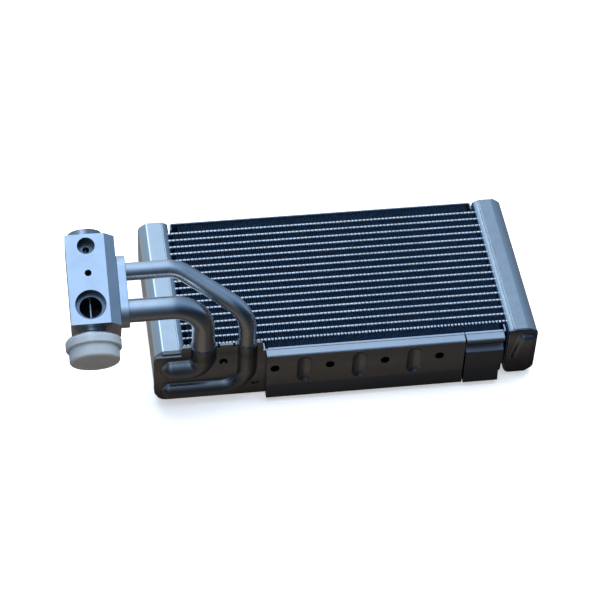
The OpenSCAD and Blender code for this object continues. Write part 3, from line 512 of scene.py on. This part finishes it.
def all_tubes():
    """Every tube takes its beads from the crests of the fin row in front of it."""
    for n in range(1, TUBE_COUNT + 1):
        name = "tube_%02d" % n
        low, high = [corner - SHIFT for corner in box_mm(name)]
        _, _, x0, _, pitch = row_span(n)
        beaded_tube(name, low, high, x0 + pitch / 2, 2 * pitch,
                    BEAD_RISE_FRONT if n == 1 else BEAD_RISE, n == 1)


# ---------------------------------------------------------------- pipes

# Middles of the upright pipes, of the joint between the channel plates, and the pipes' two ends
SUCTION_X, LIQUID_X, JOINT_Y, FOOT_Z, PIPE_END = -111.3, -78.2, -72.4, 47.0, -179.2
# Height where the thick pipe enters the valve, and the radius of the bends
VALVE_Z, BEND = 100.5, 24.0
# Thin pipe: its level run's place across the tubes, where that ends, its height and its knee's
LIQUID_Y, LIQUID_TURN_X, LIQUID_TOP, LIQUID_KNEE = JOINT_Y + 28.4, -128.0, 113.1, 89.7
# The drawn pipes are a little thicker and higher than the CAD's, as the photograph shows them
SUCTION_LIFT, SUCTION_R, LIQUID_R, PIPE_WALL = 0.5, 8.7, 6.7, 1.2
ARC_STEPS = 14        # steps round a bend
RUN_STEP = 3.0        # about how far apart the points of a straight run are
PIPE_SIDES = 64
PIPE_SHARP = 40.0     # degrees: only the pipe's rims turn more than this


def fillet_path(corners, radius):
    """Points along straight runs joined by arcs. An arc's centre lies on the line that halves the
    corner's angle, at the radius over the sine of half the angle."""
    corners = [np.asarray(c, float) for c in corners]
    line, at = [], corners[0]
    for n in range(1, len(corners)):
        bent = n < len(corners) - 1
        if bent:
            a, b = corners[n - 1] - corners[n], corners[n + 1] - corners[n]
            a, b = a / np.linalg.norm(a), b / np.linalg.norm(b)
            half = math.acos(float(a @ b)) / 2
            start = corners[n] + a * radius / math.tan(half)
            end = corners[n] + b * radius / math.tan(half)
            centre = corners[n] + (a + b) / np.linalg.norm(a + b) * radius / math.sin(half)
        else:
            start = end = corners[n]
        count = max(2, int(np.linalg.norm(start - at) / RUN_STEP))
        line.append(at + (start - at) * np.linspace(0, 1, count)[:, None])
        if bent:
            t = np.linspace(0, math.pi - 2 * half, ARC_STEPS + 1)[1:-1, None]
            out = (start - centre) / radius
            line.append(centre + radius * (out * np.cos(t) - a * np.sin(t)))
        at = end
    return np.concatenate(line)


def ring_frames(line, first):
    """Two directions across the path at each point, carried along without twist: one is the last
    point's less its share along the path, and the other is square to it and to the path."""
    step = np.diff(line, axis=0)
    step /= np.linalg.norm(step, axis=1)[:, None]
    way = np.concatenate([step[:1], step[:-1] + step[1:], step[-1:]])
    way /= np.linalg.norm(way, axis=1)[:, None]
    across = np.zeros_like(line)
    u = np.asarray(first, float)
    for n, w in enumerate(way):
        u = u - w * (u @ w)
        u /= np.linalg.norm(u)
        across[n] = u
    return across, np.cross(way, across)


def pipe(name, node, corners, outer):
    """A hollow pipe: circles of the outer and inner radius at each point of the path, joined out
    along the outside, round the far end, back along the inside and round the near end."""
    line = fillet_path(corners, BEND)
    u, v = ring_frames(line, (0, 1, 0))
    turn = np.linspace(0, 2 * math.pi, PIPE_SIDES, endpoint=False)
    circle = np.cos(turn)[:, None] * u[:, None] + np.sin(turn)[:, None] * v[:, None]
    skin_out = line[:, None] + circle * outer
    skin_in = line[:, None] + circle * (outer - PIPE_WALL)
    rings = np.concatenate([skin_out, skin_in[::-1]])
    faces = grid_quads(len(rings) + 1, PIPE_SIDES) % (len(rings) * PIPE_SIDES)
    piece = make_piece(name, rings.reshape(-1, 3) + SHIFT, faces, pipe_metal,
                       [node])
    piece.data.set_sharp_from_angle(angle=math.radians(PIPE_SHARP))


def both_pipes():
    """The thick pipe turns down once, the thin one turns towards its neck and then down."""
    top = VALVE_Z + SUCTION_LIFT
    pipe("suction_pipe_skin", "suction_pipe",
         [(PIPE_END, JOINT_Y, top), (SUCTION_X, JOINT_Y, top), (SUCTION_X, JOINT_Y, FOOT_Z)],
         SUCTION_R)
    pipe("liquid_pipe_skin", "liquid_pipe",
         [(PIPE_END, LIQUID_Y, LIQUID_TOP), (LIQUID_TURN_X, LIQUID_Y, LIQUID_TOP),
          (LIQUID_X, JOINT_Y, LIQUID_KNEE), (LIQUID_X, JOINT_Y, FOOT_Z)],
         LIQUID_R)


# ---------------------------------------------------------------- brazed seams

SEAM_ROWS, SEAM_ROUND = 120, 7      # points along the seam and over its hollow
SEAM_SHORT = 1.0      # the seam stops this far inside the tank's ends
SEAM_FOOT = 0.95      # how far its foot runs out, before the two waves: size, pace, start
SEAM_WAVES = [(0.10, 0.31, 0.0), (0.07, 0.83, 1.0)]
SEAM_SINK = -0.4      # share of the foot's width that lies inside the tank
SEAM_DROP, SEAM_RISE = 1.25, 1.1    # its foot under the tank's top, and its height


def brazed_seam(name, tank, side):
    """The braze fillet between a tank's inner edge and the header plate below it. Its outline is a
    hollow quarter round closed inside the sheets. It is carried along the edge, and its foot
    wanders in and out by the sum of two sine waves."""
    low, high = box_mm(tank)
    edge = low[0] if side > 0 else high[0]
    y = np.linspace(low[1] + SEAM_SHORT, high[1] - SEAM_SHORT, SEAM_ROWS)
    foot = SEAM_FOOT
    for size, pace, start in SEAM_WAVES:
        foot = foot + size * np.sin(y * pace + start)
    turn = np.radians(np.linspace(0, 90, SEAM_ROUND))
    out = np.concatenate([1 - np.sin(turn), [SEAM_SINK, SEAM_SINK]])
    up = np.concatenate([1 - np.cos(turn), [1.0, 0.0]])
    x = edge - side * foot[:, None] * out
    z = np.broadcast_to(high[2] - SEAM_DROP + SEAM_RISE * up, x.shape)
    points = np.stack([x, np.broadcast_to(y[:, None], x.shape), z], axis=-1)
    n = points.shape[1]
    skin = grid_quads(SEAM_ROWS, n)
    k = np.arange(1, n - 1)
    faces = np.concatenate([skin[:, [0, 1, 2]], skin[:, [0, 2, 3]],
                            np.stack([0 * k, k + 1, k], axis=-1),
                            np.stack([0 * k, k, k + 1], axis=-1) + (SEAM_ROWS - 1) * n])
    # The seam's metal is whitened as a painted highlight
    make_piece(name, points.reshape(-1, 3), faces if side > 0 else faces[:, ::-1], crease_highlight_metal)


# ---------------------------------------------------------------- domed end cap

CORE_R = 124.0        # right side of the core
# Corners of the dome's level top from the core's right side and from the floor, then its sizes
DOME = np.array([(7.4, 20.0), (12.4, 40.2), (19.0, 39.8), (18.6, 14.0)])
DOME_RIM, DOME_SLOPE, DOME_H = 4.3, 4.2, 3.1
CAP_T, CAP_EDGE = 1.4, 1.1
CAP_SIDES = 144       # points round each ring
CAP_RINGS = 30        # rings over the face
CAP_EDGE_RINGS = 6    # rings over the rounded edge
CAP_CORE = 0.03       # the smallest ring's share of the outline


def dome_height(u, z):
    """Height of the pressed dome over the cap's face. With d the distance inside the rim, which
    lies a fixed way outside the four corners, it is the smooth step of d over the slope's width."""
    point = np.stack([u, z], axis=-1)
    reach = np.full(u.shape, np.inf)
    inside = np.ones(u.shape, bool)
    for a, b in zip(DOME, np.roll(DOME, -1, axis=0)):
        way, to = b - a, point - a
        t = np.clip((to @ way) / (way @ way), 0, 1)
        reach = np.minimum(reach, np.linalg.norm(to - t[..., None] * way, axis=-1))
        inside &= to[..., 0] * way[1] - to[..., 1] * way[0] > 0
    depth = np.clip((np.where(inside, reach, -reach) + DOME_RIM) / DOME_SLOPE, 0, 1)
    return DOME_H * depth * depth * (3 - 2 * depth)


def cap_outline(middle, hull, way):
    """How far the convex outline reaches from its middle along each direction: the least distance
    at which the direction crosses the line of one of its sides."""
    a, b = hull - middle, np.roll(hull, -1, axis=0) - middle
    out = np.stack([(b - a)[:, 1], -(b - a)[:, 0]], axis=-1)
    out *= np.sign((out * a).sum(axis=1))[:, None]
    lean = way @ out.T
    ahead = lean > 1e-9
    return np.where(ahead, (a * out).sum(axis=1) / np.where(ahead, lean, 1), np.inf).min(axis=1)


def domed_cap():
    """The near cap of the right header as rings round its middle: each ring is a share of the way
    to the outline. The face rises with the dome, the edge is a quarter round and the back is
    flat."""
    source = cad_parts["right_near_cap"].data
    co = np.zeros(len(source.vertices) * 3)
    source.vertices.foreach_get("co", co)
    co = co.reshape(-1, 3) / MM - SHIFT
    face = co[np.abs(co[:, 1] - (JOINT_Y - CAP_T)) < 0.05][:, [0, 2]]
    hull = face[convex_hull_2d([tuple(v) for v in face])]
    middle = (hull.min(axis=0) + hull.max(axis=0)) / 2
    turn = np.linspace(0, 2 * math.pi, CAP_SIDES, endpoint=False)
    way = np.stack([np.cos(turn), np.sin(turn)], axis=-1)
    far = cap_outline(middle, hull, way)
    share = np.linspace(CAP_CORE, 1.0, CAP_RINGS)
    edge = np.radians(np.linspace(15, 90, CAP_EDGE_RINGS))
    radii = np.concatenate([share[:, None] * (far - CAP_EDGE),
                            far - CAP_EDGE * (1 - np.sin(edge))[:, None],
                            far[None], CAP_CORE * far[None]])
    flat = middle + radii[..., None] * way
    front = np.concatenate([np.full(CAP_RINGS, CAP_T), CAP_T - CAP_EDGE * (1 - np.cos(edge)),
                            [0.0, 0.0]])
    lift = dome_height(flat[..., 0] - CORE_R, flat[..., 1])
    lift[CAP_RINGS:CAP_RINGS + CAP_EDGE_RINGS] *= np.cos(edge)[:, None] ** 0.5
    lift[CAP_RINGS + CAP_EDGE_RINGS:] = 0
    y = JOINT_Y - front[:, None] - lift
    rings = np.stack([flat[..., 0], y, flat[..., 1]], axis=-1).reshape(-1, 3)
    poles = np.array([[middle[0], y[0].mean(), middle[1]], [middle[0], JOINT_Y, middle[1]]])
    rows, n = radii.shape
    skin = grid_quads(rows, n)
    k, m = np.arange(n), (np.arange(n) + 1) % n
    front_tip = np.stack([np.full(n, rows * n), k, m], axis=-1)
    last = (rows - 1) * n
    back_tip = np.stack([np.full(n, rows * n + 1), last + m, last + k], axis=-1)
    faces = np.concatenate([skin[:, [0, 3, 2]], skin[:, [0, 2, 1]], front_tip, back_tip])
    make_piece("domed_cap", np.concatenate([rings, poles]) + SHIFT, faces, cap_shade_metal,
               ["right_near_cap"])


# ---------------------------------------------------------------- finishes of the CAD solids

# Material, record slot and rounding of the edges
SOFTENED = {
    "left_header_plate": (header_plate_shade_metal, "header_aluminium", 0.3),
    "left_tank": (header_metal, "header_aluminium", 0.3),
    "left_near_cap": (channel_metal, "header_aluminium", 0.3),
    "right_header_plate": (header_plate_shade_metal, "header_aluminium", 0.3),
    "right_tank": (header_metal, "header_aluminium", 0.3),
    "far_end_caps": (header_metal, "header_aluminium", 0.25),
    "far_side_plate": (far_metal, "plate_aluminium", 0.3),
    "near_side_plate": (plate_metal, "plate_aluminium", 0.3),
    "channel_back_plate": (channel_metal, "plate_aluminium", 0.3),
    "channel_front_plate": (channel_metal, "plate_aluminium", 0.3),
    "short_bracket": (plate_metal, "plate_aluminium", 0.3),
    "braze_rings": (braze_metal, "braze_metal", 0.2),
    "pipe_flange": (valve_metal, "valve_aluminium", 0.5),
    "valve_body": (valve_metal, "valve_aluminium", 0.8),
    "power_head": (steel, "valve_steel", 0.25),
    "protective_cap": (plastic, "cap_plastic", 0.6),
    "flange_screw": (steel, "valve_steel", 0.25),
}
# Rounding of the folds along the tanks, and the material of the rounded strips, whitened as a
# painted highlight
FOLDS = {"left_tank": (1.1, crease_highlight_metal), "right_tank": (3.4, None)}
FINISHES = {
    "flange_o_rings": seal,
    "valve_plug": steel,
    "valve_spring": steel,
    "valve_ball": steel,
    "sensing_rod": steel,
}

# Valve block: left face, lean, middle of the bores, height of the front face over the pipe axes,
# and each bore of that face as (place along the block, radius)
BLOCK_X, LEAN, PORT_X, FACE_UP = -209.2, 24.0, 15.0, 21.1
FACE_BORES = [(0.0, 11.3), (24.4, 2.5), (45.6, 6.5)]
BORE_SLACK, FACE_SLACK = 0.15, 0.1
STEP_DEPTH = 10       # steps deeper in a bore are as dark as its wall
# Channel plate: left end and height of the ribbed web's clean flange, the locating hole between
# the necks (along the tubes, height, radius), and the notches' reach beside it, height and half
# height
WEB_LEFT, FLANGE_Z = -63.6, 45.4
HOLE, HOLE_R = (-96.0, 39.0), 3.6
NOTCH_REACH, NOTCH_Z, NOTCH_HALF = 9.5, 51.5, 3.5
# Least or most share of a face's direction that counts as looking out of the bores, across the
# hole's axis, up from a notch, and along the tubes
STEP_LOOK, HOLE_LOOK, NOTCH_LOOK, TUBE_LOOK = 0.9, 0.5, 0.3, 0.75


def face_places(mesh):
    """Each face's middle in millimetres from the middle of the tube bundle, and where it looks."""
    middle = np.zeros(len(mesh.polygons) * 3)
    normal = np.zeros(len(mesh.polygons) * 3)
    mesh.polygons.foreach_get("center", middle)
    mesh.polygons.foreach_get("normal", normal)
    return middle.reshape(-1, 3) / MM - SHIFT, normal.reshape(-1, 3)


def darken_bores(mesh):
    """Paints shade into the valve block's bores: the faces inside them get a dark metal, and their
    shallow steps a lighter one. A face lies in a bore when its middle, turned back by the block's
    lean, is below the front face and within the bore's radius."""
    middle, normal = face_places(mesh)
    middle = middle - (BLOCK_X, JOINT_Y, VALVE_Z)
    c, s = math.cos(math.radians(LEAN)), math.sin(math.radians(LEAN))
    along, up = middle[:, 1] * c + middle[:, 2] * s, middle[:, 2] * c - middle[:, 1] * s
    facing = normal[:, 2] * c - normal[:, 1] * s
    inside = np.zeros(len(middle), bool)
    for at, radius in FACE_BORES:
        away = np.hypot(middle[:, 0] - PORT_X, along - at)
        inside |= (away < radius + BORE_SLACK) & (up < FACE_UP - FACE_SLACK)
    step = inside & (facing > STEP_LOOK) & (up > FACE_UP - STEP_DEPTH)
    paint_faces(mesh, inside.astype(np.int32) + step, bore_shade_metal, step_shade_metal)


def finish_channels(mesh):
    """The upper flange of the ribbed web gets the side sheet's metal, whose factor by height paints
    a
    highlight along its top: the faces at its height, right of the channels. The wall of the locating
    hole and the bottoms of the notches beside the necks get the bores' painted shade: faces round
    the hole's axis, and level faces just below the plate's top edge."""
    middle, normal = face_places(mesh)
    x, z = middle[:, 0], middle[:, 2]
    flange = (x > WEB_LEFT) & (z > FLANGE_Z)
    hole = (np.hypot(x - HOLE[0], z - HOLE[1]) < HOLE_R) & (np.abs(normal[:, 1]) < HOLE_LOOK)
    beside = (np.abs(x - HOLE[0]) < NOTCH_REACH) & (np.abs(z - NOTCH_Z) < NOTCH_HALF)
    notch = beside & (normal[:, 2] > NOTCH_LOOK)
    paint_faces(mesh, np.where(hole | notch, 2, flange), plate_metal, bore_shade_metal)


def coat_inner_face(mesh):
    """The header plate's face between the tubes has the fins' dark coating: the faces that look
    along the tubes."""
    _, normal = face_places(mesh)
    paint_faces(mesh, np.abs(normal[:, 0]) > TUBE_LOOK, fin_coat)


def dress_solids():
    """Softened copies of the large CAD solids, and finishes on the small ones that stay."""
    for node, (material, slot, width) in SOFTENED.items():
        mesh = softened(node, material, slot, width, *FOLDS.get(node, ())).data
        if node == "valve_body":
            darken_bores(mesh)
        if node.startswith("channel_"):
            finish_channels(mesh)
        if node.endswith("header_plate"):
            coat_inner_face(mesh)
    for node, material in FINISHES.items():
        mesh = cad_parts[node].data
        mesh.materials.clear()
        mesh.materials.append(material)


# ---------------------------------------------------------------- stage, light and camera

FLOOR_HALF, FLOOR_Z = 6.0, -0.0006      # metres
# Colour of the studio by height in degrees round the X axis, from the back low to the back again
SKY = [(-180, (0.48, 0.64, 0.86)), (-158, (0.32, 0.33, 0.33)), (-132, (0.21, 0.20, 0.19)),
       (-105, (0.120, 0.090, 0.065)), (-72, (0.050, 0.050, 0.060)), (-56, (0.140, 0.120, 0.098)),
       (-40, (0.112, 0.104, 0.096)), (-22, (0.066, 0.074, 0.088)), (0, (0.043, 0.055, 0.069)),
       (24, (0.070, 0.095, 0.130)), (46, (0.160, 0.240, 0.350)), (68, (0.42, 0.60, 0.88)),
       (85, (0.66, 0.94, 1.38)), (116, (0.74, 1.02, 1.38)), (140, (0.64, 0.88, 1.17)),
       (180, (0.48, 0.64, 0.86))]
# Colour factor over the share of the direction that points right, above and below the horizon
ACROSS = [(-1.0, (0.36, 0.36, 0.36)), (-0.70, (0.41, 0.44, 0.45)), (-0.48, (0.80, 0.82, 0.82)),
          (-0.34, (1.50, 1.48, 1.42)), (-0.22, (1.50, 1.48, 1.42)), (-0.08, (1.0, 1.0, 1.0)),
          (0.05, (1.0, 1.0, 1.0)), (0.22, (0.29, 0.33, 0.38)), (1.0, (0.27, 0.32, 0.37))]
ACROSS_LOW = [(-1.0, (1.0, 1.0, 1.0)), (0.02, (1.0, 1.0, 1.0)), (0.28, (0.45, 0.47, 0.50)),
              (1.0, (0.35, 0.37, 0.40))]
# Camera: turn to the left, height and roll in degrees, then the point it looks at in millimetres,
# how far away it stands in metres, and its focal length in pixels of the 600 pixel wide photograph
CAMERA_TURN, CAMERA_RISE, CAMERA_ROLL = 10.45, 46.0, 3.21
CAMERA_AIM, CAMERA_AWAY, FOCAL, IMAGE, SENSOR = (2.6, -1.29, 47.5), 1.662, 2150.0, 600.0, 36.0


def pale_floor():
    """A pale floor that the shiny parts do not mirror."""
    mesh = bpy.data.meshes.new("floor")
    s, z = FLOOR_HALF, FLOOR_Z
    mesh.from_pydata([(-s, -s, z), (s, -s, z), (s, s, z), (-s, s, z)], [], [(0, 1, 2, 3)])
    floor = bpy.data.objects.new("floor", mesh)
    bpy.context.collection.objects.link(floor)
    paper, link, shader, add = new_material("floor paper")
    shader.inputs["Base Color"].default_value = (0.93, 0.93, 0.93, 1)
    shader.inputs["Roughness"].default_value = 0.9
    shader.inputs["Emission Color"].default_value = (1, 1, 1, 1)
    shader.inputs["Emission Strength"].default_value = 0.45
    mesh.materials.append(paper)
    floor.visible_glossy = False
    floor.visible_diffuse = False


def sky():
    """A sky that is cool and bright overhead and dark and warm in front, as in a product studio.
    Its colour goes by the direction's height round the X axis, times a factor across from left to
    right."""
    world = bpy.data.worlds.new("studio")
    bpy.context.scene.world = world
    world.use_nodes = True
    tree = world.node_tree
    tree.nodes.clear()
    link, add = tree.links.new, node_maker(tree)

    def number(operation, *inputs):
        node = add("ShaderNodeMath", operation=operation)
        for socket, value in zip(node.inputs, inputs):
            feed(link, socket, value)
        return node.outputs["Value"]

    place = add("ShaderNodeTexCoord")
    parts = add("ShaderNodeSeparateXYZ")
    link(place.outputs["Generated"], parts.inputs["Vector"])
    x, y, z = parts.outputs
    # turns round the X axis plus a half: 0.5 front, 0.75 overhead, 1 or 0 back, 0.25 straight down
    angle = number("ARCTAN2", z, number("MULTIPLY", y, -1.0))
    height = number("ADD", number("DIVIDE", angle, 2 * math.pi), 0.5)
    tone = ramp(add, link, height, [(degrees / 360 + 0.5, colour) for degrees, colour in SKY])
    across = number("ADD", number("MULTIPLY", x, 0.5), 0.5)
    above, below = [
        ramp(add, link, across, [(at / 2 + 0.5, colour) for at, colour in stops], "EASE")
        for stops in (ACROSS, ACROSS_LOW)]
    factor = mixed(add, link, "MIX", number("LESS_THAN", z, 0.0), above, below)
    light = add("ShaderNodeBackground")
    out = add("ShaderNodeOutputWorld")
    link(mixed(add, link, "MULTIPLY", 1.0, tone, factor), light.inputs["Color"])
    link(light.outputs["Background"], out.inputs["Surface"])


def soft_light(name, size, watts, colour, place, aim):
    """A rectangular light that the shiny parts do not mirror, turned from its place to its aim."""
    lamp = bpy.data.lights.new(name, "AREA")
    lamp.shape = "RECTANGLE"
    lamp.size, lamp.size_y = size
    lamp.energy = watts
    lamp.color = colour
    light = bpy.data.objects.new(name, lamp)
    bpy.context.collection.objects.link(light)
    light.location = place
    light.rotation_euler = (Vector(aim) - light.location).to_track_quat("-Z", "Y").to_euler()
    light.visible_glossy = False


def camera():
    """The photograph's view: from the front left and above, 129 mm lens, slightly rolled."""
    turn, rise, roll = [math.radians(v) for v in (CAMERA_TURN, CAMERA_RISE, CAMERA_ROLL)]
    back = Vector((-math.sin(turn) * math.cos(rise), -math.cos(turn) * math.cos(rise),
                   math.sin(rise)))
    right = Vector((0, 0, 1)).cross(back).normalized()
    up = back.cross(right)
    side = right * math.cos(roll) + up * math.sin(roll)
    head = up * math.cos(roll) - right * math.sin(roll)
    eye = Vector(CAMERA_AIM) * MM + back * CAMERA_AWAY
    lens = bpy.data.cameras.new("camera")
    lens.sensor_width = SENSOR
    lens.lens = SENSOR * FOCAL / IMAGE
    shooter = bpy.data.objects.new("camera", lens)
    bpy.context.collection.objects.link(shooter)
    shooter.matrix_world = Matrix((
        (side.x, head.x, back.x, eye.x),
        (side.y, head.y, back.y, eye.y),
        (side.z, head.z, back.z, eye.z),
        (0, 0, 0, 1)))
    bpy.context.scene.camera = shooter


camera()
pale_floor()
sky()
soft_light("key", (2.4, 2.0), 62.0, (1.0, 0.99, 0.97), (0.2, 0.7, 1.9), (0, 0, 0))
soft_light("bounce", (1.0, 1.0), 8.0, (1.0, 0.84, 0.70), (-0.25, -1.25, 0.12), (-0.1, 0, 0.08))
all_tubes()
all_fins()
both_pipes()
brazed_seam("left_seam", "left_tank", -1)
brazed_seam("right_seam", "right_tank", 1)
domed_cap()
dress_solids()
bpy.context.scene.view_settings.view_transform = "Standard"
